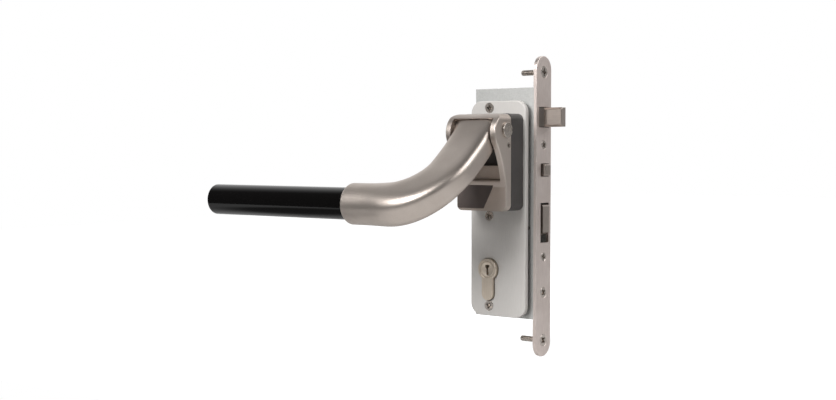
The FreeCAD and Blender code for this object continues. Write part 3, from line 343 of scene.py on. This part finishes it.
def bump(tree, height, strength, depth):
    """Tilt the surface as if a height from 0 to 1 stood so many metres proud of it."""
    return add_node(tree, "ShaderNodeBump", None,
                    {"Height": height, "Strength": strength, "Distance": depth})


# %% Finishes for metal
grain_reach = (0.3, 0.7)         # noise gathers round one half, so its middle is spread out
cloud_reach = (0.32, 0.68)
grain_share = 0.55               # of the colour; the rest follows the clouds
grain_depth = 0.2 * mm
long_x = (0.03, 1, 1)
long_y = (1, 0.05, 1)
long_z = (1, 1, 0.03)


def metal(name, light, dark, gloss, grain=2400, streak=(1, 1, 1), cloud=38, relief=0.10,
          metallic=1.0):
    """Metal between two colours and two roughnesses; streak draws its grain out along an axis."""
    material, tree = begin(name)
    fine = ramp(tree, noise(tree, grain, streak, detail=4.0, roughness=0.7), grain_reach)
    patches = ramp(tree, noise(tree, cloud, roughness=0.55), cloud_reach)
    colour = blend(tree, fine * grain_share + patches * (1 - grain_share), dark, light)
    smooth, rough = gloss
    finish_material(tree, {
        "Base Color": colour, "Metallic": metallic,
        "Roughness": rough - (fine * 0.5 + patches * 0.5) * (rough - smooth),
        "Normal": bump(tree, fine, relief, grain_depth),
    })
    return material


metals = {
    "cast_arm": metal("satin_nickel_arm", linear(208, 198, 190), linear(186, 175, 166),
                      (0.36, 0.47)),
    "cast_housing": metal("satin_nickel_housing", linear(204, 194, 186), linear(180, 169, 161),
                          (0.38, 0.50)),
    "plate_steel": metal("satin_plate", linear(208, 205, 201), linear(194, 190, 186),
                         (0.42, 0.52), 3200, long_z, cloud=24, relief=0.06, metallic=0.35),
    "face_steel": metal("brushed_edge_plate", linear(244, 232, 226), linear(202, 189, 182),
                        (0.34, 0.48), 2600, long_z, cloud=30, relief=0.16),
    "bolt_nickel": metal("bolt_nickel", linear(188, 178, 170), linear(162, 151, 143),
                         (0.30, 0.42), 2200, long_x, cloud=60),
    "lock_steel": metal("zinc_plated_case", linear(206, 206, 204), linear(180, 180, 177),
                        (0.34, 0.50), 900, cloud=70, metallic=0.6),
    "gear_steel": metal("gear_steel", linear(168, 166, 162), linear(134, 131, 127),
                        (0.28, 0.42), 2600, long_y, cloud=80),
    "cylinder_nickel": metal("bright_cylinder_nickel", linear(232, 219, 203),
                             linear(208, 194, 177), (0.26, 0.38), 2600, long_z, cloud=60,
                             relief=0.05, metallic=0.72),
    "screw_steel": metal("bright_screw_steel", linear(206, 198, 190), linear(172, 163, 155),
                         (0.22, 0.32), 3000, cloud=200, relief=0.05, metallic=0.92),
    "spring_steel": metal("spring_steel", linear(172, 172, 174), linear(130, 130, 133),
                          (0.20, 0.34), 1800, cloud=300),
}
print("metal finishes", len(metals))

# %% [markdown]
# The dark parts are not plain black. The tube has a deep gloss with the faint waviness of a painted
# surface and a little dust in its roughness. The box is moulded plastic with a fine pebbled skin.
# The buffer under the arm is softer, and its dark brown is painted shade: it stands for the shadow
# that the arm casts on the housing. Both get cloudy wear, lighter and more matt, as handling
# leaves it.

# %% Finish for paint
wave_scale, wave_stretch = 60, (0.15, 1, 1)
wave_strength, wave_depth = 0.04, 0.5 * mm
dust_scale, dust_stretch = 1500, (0.25, 1, 1)
dust_reach = (0.55, 0.8)         # only the peaks of the noise are dust
paint_roughness = 0.07
dust_roughness = 0.1             # on top of the paint's
paint_specular = 0.34


def painted_tube(name):
    """Black paint with a deep gloss, faint waves along the tube and a little dust."""
    material, tree = begin(name)
    waves = noise(tree, wave_scale, wave_stretch, detail=2.0, roughness=0.5)
    dust = noise(tree, dust_scale, dust_stretch, detail=4.0, roughness=0.65)
    dust = ramp(tree, dust, dust_reach)
    finish_material(tree, {
        "Base Color": blend(tree, dust, linear(4, 3, 3), linear(11, 10, 10)),
        "Roughness": paint_roughness + dust * dust_roughness,
        "Specular IOR Level": paint_specular,
        "Normal": bump(tree, waves, wave_strength, wave_depth),
    })
    return material


print("paint roughness", paint_roughness, "and with dust", paint_roughness + dust_roughness)

# %% Finishes for plastic and rubber
pebble_reach = (0.35, 0.65)
pebble_depth = 0.1 * mm
pebble_gloss = 0.05              # taken off the roughness on top of a pebble
wear_scale = 45
wear_reach = (0.4, 0.75)
wear_share = 0.6                 # of the colour; the rest follows the pebbles
wear_roughness = 0.1


def moulded(name, dark, light, roughness, grain=1500, relief=0.25):
    """Plastic or rubber with a pebbled skin and cloudy wear."""
    material, tree = begin(name)
    pebbles = ramp(tree, noise(tree, grain, roughness=0.55), pebble_reach)
    wear = ramp(tree, noise(tree, wear_scale, detail=4.0, distortion=0.4), wear_reach)
    tone = pebbles * (1 - wear_share) + wear * wear_share
    finish_material(tree, {
        "Base Color": blend(tree, tone, dark, light),
        "Roughness": roughness + wear * wear_roughness - pebbles * pebble_gloss,
        "Normal": bump(tree, pebbles, relief, pebble_depth),
    })
    return material


others = {
    "bar_black": painted_tube("gloss_black_tube"),
    "box_black": moulded("pebbled_box", linear(50, 47, 46), linear(64, 60, 58), 0.52),
    # the buffer's dark brown is painted shade: it stands for the arm's shadow on the housing
    "rubber_black": moulded("buffer_painted_shade", linear(70, 61, 58), linear(86, 76, 72), 0.62,
                            grain=2200),
    "bush_plastic": moulded("bush_plastic", linear(225, 221, 209), linear(236, 233, 224), 0.4,
                            grain=900, relief=0.08),
}
finishes = {**metals, **others}
print("all finishes", len(finishes))

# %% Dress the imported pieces
slots = {row["node"]: row["material_slot"] for row in frame["record"]["subparts"]}


def dress_nodes():
    """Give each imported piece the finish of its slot."""
    for name, piece in frame["nodes"].items():
        piece.data.materials.clear()
        piece.data.materials.append(finishes[slots[name]])
    print("dressed", len(slots), "pieces")


dress_nodes()

# %% [markdown]
# Twelve screws hold the object together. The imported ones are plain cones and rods, so here each
# gets a thread, a bevelled rim and a cross-shaped recess. For each kind a blank is turned on a
# lathe in the script. Geometry Nodes then cut the cross with a Boolean and stand a copy at every
# place, each turned by its own random angle, because nobody lines screws up. The nodes do the
# repeating, so a change to one screw changes them all.

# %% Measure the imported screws
screw_ways = {                   # where each kind's heads face
    "plate_screws": (0, -1, 0), "body_screws": (0, 1, 0), "faceplate_screws": (1, 0, 0),
    "case_screws": (1, 0, 0), "cylinder_screw": (1, 0, 0),
}
thread_share = 0.6               # below this share of its length a screw is thread alone
same_place = 1e-6
side_share = 0.01                # small, so that it only decides between equal heights


def lower_first(part):
    """Sort key: how high a part lies and, at the same height, how far to the right."""
    low = [min(place[k] for place in part) for k in range(3)]
    return low[2] + low[0] * side_share


def loose_parts(node):
    """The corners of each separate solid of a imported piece, in metres, the lowest solid first."""
    mesh = bmesh.new()
    mesh.from_mesh(frame["nodes"][node].data)
    mesh.transform(frame["nodes"][node].matrix_world)
    bmesh.ops.remove_doubles(mesh, verts=mesh.verts, dist=same_place)
    left, parts = set(mesh.verts), []
    while left:
        waiting, part = [left.pop()], []
        while waiting:
            vertex = waiting.pop()
            part.append(vertex.co.copy())
            for edge in vertex.link_edges:
                other = edge.other_vert(vertex)
                if other in left:
                    left.discard(other)
                    waiting.append(other)
        parts.append(part)
    mesh.free()
    return sorted(parts, key=lower_first)


def measure_screw(part, way):
    """Where a screw's head faces, and its head's radius, its thread's radius and its length."""
    axis = Vector(way)
    depths = [place.dot(axis) for place in part]
    top, bottom = max(depths), min(depths)
    low = Vector(min(place[k] for place in part) for k in range(3))
    high = Vector(max(place[k] for place in part) for k in range(3))
    middle = (low + high) / 2
    face = middle + axis * (top - middle.dot(axis))

    def reach(place):
        across = place - face
        return (across - axis * across.dot(axis)).length

    deep = top - (top - bottom) * thread_share
    return {
        "face": face, "head": max(reach(place) for place in part), "length": top - bottom,
        "thread": max(reach(place) for place in part if place.dot(axis) < deep),
    }


def measure_screws():
    """The measures of every screw, kind by kind."""
    sizes = {}
    for node, way in screw_ways.items():
        sizes[node] = [measure_screw(part, way) for part in loose_parts(node)]
        length = sizes[node][0]["length"]
        print(node, len(sizes[node]), "screws, length", round(length / mm, 1), "mm")
    return sizes


screw_sizes = measure_screws()

# %% Lathe
thread_pitch = 0.8 * mm
thread_depth = 0.22 * mm
thread_groove = (0.15, 0.5, 0.85)    # where in a pitch it starts, is deepest and ends
rim_bevel = 0.3 * mm
head_land = 0.1 * mm
lathe_steps = 48


def screw_profile(sizes):
    """Half outline of a screw, from the middle of its head down to its tip."""
    head, thread, length = sizes["head"], sizes["thread"], sizes["length"]
    points = [(0, 0), (head - rim_bevel, 0), (head, -rim_bevel), (head, -rim_bevel - head_land)]
    depth = rim_bevel + head_land + head - thread
    points.append((thread, -depth))
    start, deepest, end = [thread_pitch * share for share in thread_groove]
    while depth + 2 * thread_pitch < length:
        points += [(thread, -depth - start), (thread - thread_depth, -depth - deepest),
                   (thread, -depth - end)]
        depth += thread_pitch
    points.append((thread - thread_depth, -length + thread_depth))
    points.append((thread - 2 * thread_depth, -length))
    return points + [(0, -length)]


def lathe(name, points):
    """Mesh made by turning a half outline round the z axis."""
    rings, corners = [], []
    for radius, z in points:
        if radius == 0:
            corners.append((0, 0, z))
            rings.append([len(corners) - 1] * lathe_steps)
            continue
        rings.append(range(len(corners), len(corners) + lathe_steps))
        for k in range(lathe_steps):
            angle = 2 * pi * k / lathe_steps
            corners.append((radius * cos(angle), radius * sin(angle), z))
    faces = []
    for upper, lower in zip(rings, rings[1:]):
        for k in range(lathe_steps):
            n = (k + 1) % lathe_steps
            face = [upper[k], lower[k], lower[n], upper[n]]
            faces.append(list(dict.fromkeys(face)))
    mesh = bpy.data.meshes.new(name)
    mesh.from_pydata(corners, [], faces)
    return mesh


print("thread pitch", round(thread_pitch / mm, 2), "mm, lathe steps", lathe_steps)


# %% Start and end of a node tree
def open_tree(name, inputs, result):
    """Start a Geometry Nodes tree with named inputs, and return it with a wire for each."""
    tree = bpy.data.node_groups.new(name, "GeometryNodeTree")
    for title, kind in inputs.items():
        tree.interface.new_socket(title, in_out="INPUT", socket_type="NodeSocket" + kind)
    tree.interface.new_socket(result, in_out="OUTPUT", socket_type="NodeSocketGeometry")
    start = tree.nodes.new("NodeGroupInput")
    return tree, {socket.name: Wire(tree, socket) for socket in start.outputs if socket.name}


def close_tree(tree, places, shape, facing, finish):
    """Stand a shape at each place, make the copies real, give them their finish and end."""
    row = add_node(tree, "GeometryNodeInstanceOnPoints", None,
                   {"Points": places, "Instance": shape, "Rotation": facing})
    solid = add_node(tree, "GeometryNodeRealizeInstances", None, {0: row})
    solid = add_node(tree, "GeometryNodeSetMaterial", None,
                     {"Geometry": solid, "Material": finish})
    add_node(tree, "NodeGroupOutput", None, {0: solid})


# %% Screw tree
pit_sides = 16                   # the pit under the cross, where the driver's tip ends
pit_widths = (1.1, 0.3)          # its radius above and below, over the width of the cross
pit_depth = 1.5                  # over the depth of the cross


def cross_recess(tree, given):
    """The shapes that the driver leaves in a head: two crossed bars and a pit below them."""
    shapes = []
    for long_side, short_side in (("Reach", "Width"), ("Width", "Reach")):
        size = add_node(tree, "ShaderNodeCombineXYZ", None,
                        {0: given[long_side], 1: given[short_side], 2: given["Depth"] * 2})
        shapes.append(add_node(tree, "GeometryNodeMeshCube", None, {"Size": size}))
    pit = add_node(tree, "GeometryNodeMeshCone", None,
                   {"Vertices": pit_sides, "Radius Top": given["Width"] * pit_widths[0],
                    "Radius Bottom": given["Width"] * pit_widths[1],
                    "Depth": given["Depth"] * pit_depth})
    lowered = add_node(tree, "ShaderNodeCombineXYZ", None, {2: given["Depth"] * -pit_depth})
    shapes.append(add_node(tree, "GeometryNodeTransform", None,
                           {"Geometry": pit, "Translation": lowered}))
    return shapes


def screw_tree():
    """Node tree: cut a cross in a blank, and stand it at every point that comes in."""
    tree, given = open_tree("screw_row", {
        "Places": "Geometry", "Blank": "Object", "Reach": "Float", "Width": "Float",
        "Depth": "Float", "Way": "Vector", "Seed": "Int", "Finish": "Material"}, "Screws")
    blank = add_node(tree, "GeometryNodeObjectInfo", None, {"Object": given["Blank"]}, "Geometry")
    cutters = cross_recess(tree, given)
    cut = tree.nodes.new("GeometryNodeMeshBoolean")
    cut.operation = "DIFFERENCE"
    cut.solver = "EXACT"
    cut.inputs["Self Intersection"].default_value = True
    tree.links.new(blank.socket, cut.inputs[0])
    for cutter in cutters:
        tree.links.new(cutter.socket, cut.inputs[1])
    upright = add_node(tree, "FunctionNodeAlignRotationToVector", {"axis": "Z"},
                       {"Vector": given["Way"]})
    turn = add_node(tree, "FunctionNodeRandomValue", {"data_type": "FLOAT"},
                    {2: 0.0, 3: pi, 8: given["Seed"]}, 1)
    turn = add_node(tree, "ShaderNodeCombineXYZ", None, {2: turn})
    turn = add_node(tree, "FunctionNodeEulerToRotation", None, {0: turn})
    facing = add_node(tree, "FunctionNodeRotateRotation", {"rotation_space": "LOCAL"},
                      {0: upright, 1: turn})
    close_tree(tree, given["Places"], Wire(tree, cut.outputs["Mesh"]), facing, given["Finish"])
    print("screw tree", len(tree.nodes), "nodes")
    return tree


# %% Plain meshes from modifiers and trees
smooth_turn = radians(32)        # an edge that turns by more stays sharp


def settle(piece):
    """Turn a piece with modifiers into a plain mesh, smooth but for its sharp edges."""
    shown = piece.evaluated_get(bpy.context.evaluated_depsgraph_get())
    settled = bpy.data.meshes.new_from_object(shown)
    old = piece.data
    piece.modifiers.clear()
    piece.data = settled
    bpy.data.meshes.remove(old)
    settled.shade_smooth()
    settled.set_sharp_from_angle(angle=smooth_turn)


def grow(name, mesh, tree, values):
    """Run a node tree on a mesh and keep what comes out as a plain object."""
    piece = stand(name, mesh)
    modifier = piece.modifiers.new("nodes", "NODES")
    modifier.node_group = tree
    for item in tree.interface.items_tree:
        if item.in_out == "INPUT" and item.name in values:
            modifier[item.identifier] = values[item.name]
    settle(piece)
    piece.data.name = name
    return piece


# %% Screws
recess_reach = 0.62              # length of the cross over the width of the head
recess_width = 0.17
recess_depth = 0.26


def make_screws():
    """Turn one blank for each kind of screw and let the tree stand its copies."""
    tree = screw_tree()
    for seed, (node, sizes) in enumerate(screw_sizes.items()):
        first = sizes[0]
        blank = stand("blank", lathe("blank", screw_profile(first)))
        places = bpy.data.meshes.new("places")
        places.from_pydata([size["face"] for size in sizes], [], [])
        across = first["head"] * 2
        values = {"Blank": blank, "Reach": across * recess_reach, "Width": across * recess_width,
                  "Depth": across * recess_depth, "Way": screw_ways[node], "Seed": seed,
                  "Finish": finishes["screw_steel"]}
        piece = grow("dressed_" + node, places, tree, values)
        bpy.data.objects.remove(blank)
        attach(piece, "door_side")
        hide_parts(node)
        print(node, "head", round(across / mm, 1), "mm, faces", len(piece.data.polygons))


make_screws()

# %% [markdown]
# Three compression springs bring the moving pieces back: one at the toothed rack, one behind the
# latch and one behind the trigger. A spring is a round wire along a helix, so Geometry Nodes draw
# the helix, sweep a circle along it and stand it on its seat.

# %% Spring tree
helix_steps = 28
wire_sides = 10


def spring_tree():
    """Node tree: sweep a wire along a helix and stand it on every point that comes in."""
    tree, given = open_tree("coil_row", {
        "Seat": "Geometry", "Coil Radius": "Float", "Wire Radius": "Float", "Length": "Float",
        "Turns": "Float", "Way": "Vector", "Finish": "Material"}, "Springs")
    rise = given["Length"] - given["Wire Radius"] * 2
    helix = add_node(tree, "GeometryNodeCurveSpiral", None,
                     {"Resolution": helix_steps, "Rotations": given["Turns"],
                      "Start Radius": given["Coil Radius"], "End Radius": given["Coil Radius"],
                      "Height": rise})
    lifted = add_node(tree, "ShaderNodeCombineXYZ", None, {2: given["Wire Radius"]})
    helix = add_node(tree, "GeometryNodeTransform", None,
                     {"Geometry": helix, "Translation": lifted})
    ring = add_node(tree, "GeometryNodeCurvePrimitiveCircle", None,
                    {"Resolution": wire_sides, "Radius": given["Wire Radius"]})
    coil = add_node(tree, "GeometryNodeCurveToMesh", None,
                    {"Curve": helix, "Profile Curve": ring, "Fill Caps": True})
    facing = add_node(tree, "FunctionNodeAlignRotationToVector", {"axis": "Z"},
                      {"Vector": given["Way"]})
    close_tree(tree, given["Seat"], coil, facing, given["Finish"])
    print("spring tree", len(tree.nodes), "nodes")
    return tree


# %% Springs
spring_rows = {
    # axis along which it works, wire radius, turns, joint that presses it, fixed at its far end
    "rack_spring": (2, 0.7 * mm, 8, "rack_slide", True),
    "latch_spring": (0, 0.8 * mm, 10, "latch_slide", False),
    "trigger_spring": (0, 0.6 * mm, 5, "trigger_slide", False),
}


def make_springs():
    """Wind each spring at its packed size and fix it to the door side."""
    tree = spring_tree()
    for node, (axis, wire, turns, joint, from_top) in spring_rows.items():
        low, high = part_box(node)
        length = high[axis] - low[axis]
        across = min(high[k] - low[k] for k in range(3) if k != axis)
        seat = [(low[k] + high[k]) / 2 for k in range(3)]
        seat[axis] = low[axis]
        way = [float(k == axis) for k in range(3)]
        mesh = bpy.data.meshes.new("seat")
        mesh.from_pydata([seat], [], [])
        values = {"Coil Radius": across / 2 - wire, "Wire Radius": wire, "Length": length,
                  "Turns": float(turns), "Way": way, "Finish": finishes["spring_steel"]}
        piece = grow("coiled_" + node, mesh, tree, values)
        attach(piece, "door_side")
        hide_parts(node)
        seat[axis] = high[axis] if from_top else low[axis]
        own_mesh(piece)


make_springs()

# %% [markdown]
# The key plug is small, but the eye goes to it first, because it is round, bright and holds the one
# black shape on the plate. Its face is dished inside a raised rim, and the keyway is a slot with
# wards: ridges that lean in from both sides. The blank is turned like the screws. The keyway is a
# prism on a bent outline, and a Boolean modifier takes it out.

# %% Keyway
keyway_rows = [
    # height, right side and left side, from the middle of the plug, in millimetres
    (3.6, 1.9, -1.8), (1.7, 1.9, -1.8), (1.5, 0.9, -1.9), (0.6, 0.7, -0.9), (0.3, 1.1, -0.8),
    (-1.9, 0.9, -0.9), (-2.2, 1.4, -0.5), (-4.4, 1.2, -0.6),
]


def keyway_outline(middle):
    """Keyway seen from the front, down its right side and up its left."""
    right = [(side, up) for up, side, _ in keyway_rows]
    left = [(side, up) for up, _, side in reversed(keyway_rows)]
    return [(middle[0] + side * mm, middle[1] + up * mm) for side, up in right + left]


def prism(name, outline, front, back):
    """Mesh between two copies of an outline in the plane of the door."""
    count = len(outline)
    corners = [(x, front, z) for x, z in outline] + [(x, back, z) for x, z in outline]
    faces = [list(range(count)), list(range(2 * count - 1, count - 1, -1))]
    faces += [[k, k + count, (k + 1) % count + count, (k + 1) % count] for k in range(count)]
    mesh = bpy.data.meshes.new(name)
    mesh.from_pydata(corners, [], faces)
    solid = bmesh.new()
    solid.from_mesh(mesh)
    bmesh.ops.recalc_face_normals(solid, faces=solid.faces)
    solid.to_mesh(mesh)
    solid.free()
    return mesh


def carve(piece, cutter_mesh):
    """Take one mesh out of a piece for good."""
    cutter = stand("cutter", cutter_mesh)
    modifier = piece.modifiers.new("carve", "BOOLEAN")
    modifier.operation = "DIFFERENCE"
    modifier.solver = "EXACT"
    modifier.object = cutter
    settle(piece)
    bpy.data.objects.remove(cutter)


print("keyway height", round(keyway_rows[0][0] - keyway_rows[-1][0], 1), "mm")

# %% Key plug
plug_gap = 0.12 * mm
plug_rim = 0.8 * mm
plug_dish = 0.6 * mm
plug_edge = 0.3 * mm
dish_steps = 8
keyway_deep = 11 * mm


def plug_profile(radius, length):
    """Half outline of the plug, from the middle of its dish out over the rim and back."""
    inner = radius - plug_rim
    shares = [k / dish_steps for k in range(dish_steps + 1)]
    dish = [(inner * share, -plug_dish * (1 - share ** 2)) for share in shares]
    return dish + [(radius - plug_edge, 0), (radius, -plug_edge), (radius, -length), (0, -length)]


def make_plug():
    """Turn the plug, face it to the front and take its keyway out."""
    low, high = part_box("key_plug")
    radius = (high[0] - low[0]) / 2 - plug_gap
    middle = ((low[0] + high[0]) / 2, (low[2] + high[2]) / 2)
    mesh = lathe("dressed_key_plug", plug_profile(radius, high[1] - low[1]))
    facing_front = Matrix.Rotation(pi / 2, 4, "X")
    mesh.transform(Matrix.Translation((middle[0], low[1], middle[1])) @ facing_front)
    mesh.materials.append(finishes["cylinder_nickel"])
    piece = stand("dressed_key_plug", mesh)
    front = low[1] - plug_edge
    carve(piece, prism("keyway", keyway_outline(middle), front, low[1] + keyway_deep))
    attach(piece, "key")
    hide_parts("key_plug")
    print("key plug, radius", round(radius / mm, 1), "mm, faces", len(piece.data.polygons))


make_plug()

# %% [markdown]
# No real edge is perfectly sharp: a file, a tumbling drum or the mould breaks it, and that narrow
# slope is what catches the light. The trigger and the buffer keep their imported shape, but a copy of
# each gets its doubles merged, its flat triangles joined and a Bevel modifier on every edge that
# turns by more than the set angle. The steel gets one flat slope, as a file leaves it, and the
# buffer, whose dark brown is painted shade, gets a far wider, round edge.

# %% Broken edges
broken_edges = {
    # width, and in how many steps it goes round
    "arm_buffer": (1.6 * mm, 10), "trigger": (0.4 * mm, 1),
}
edge_turn = radians(38)
flat_turn = radians(0.5)
crisp_turn = radians(20)


def break_edges(node, width, steps, body, slot):
    """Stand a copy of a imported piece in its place, with a bevel on every edge."""
    solid = bmesh.new()
    solid.from_mesh(frame["nodes"][node].data)
    solid.transform(frame["nodes"][node].matrix_world)
    bmesh.ops.remove_doubles(solid, verts=solid.verts, dist=same_place)
    bmesh.ops.dissolve_limit(solid, angle_limit=flat_turn, verts=solid.verts, edges=solid.edges)
    mesh = bpy.data.meshes.new("softened_" + node)
    solid.to_mesh(mesh)
    solid.free()
    mesh.materials.append(finishes[slot])
    piece = stand("softened_" + node, mesh)
    modifier = piece.modifiers.new("bevel", "BEVEL")
    modifier.width = width
    modifier.segments = steps
    modifier.limit_method = "ANGLE"
    modifier.angle_limit = edge_turn
    settle(piece)
    piece.data.set_sharp_from_angle(angle=crisp_turn)
    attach(piece, body)
    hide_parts(node)
    print(node, "edges broken by", round(width / mm, 2), "mm, faces", len(piece.data.polygons))


def break_all():
    """Find each piece's body and slot in the record, and break its edges."""
    bodies = frame["record"]["behaviour"]["bodies"]
    homes = {node: body for body, nodes in bodies.items() for node in nodes}
    for node, (width, steps) in broken_edges.items():
        break_edges(node, width, steps, homes[node], slots[node])


break_all()
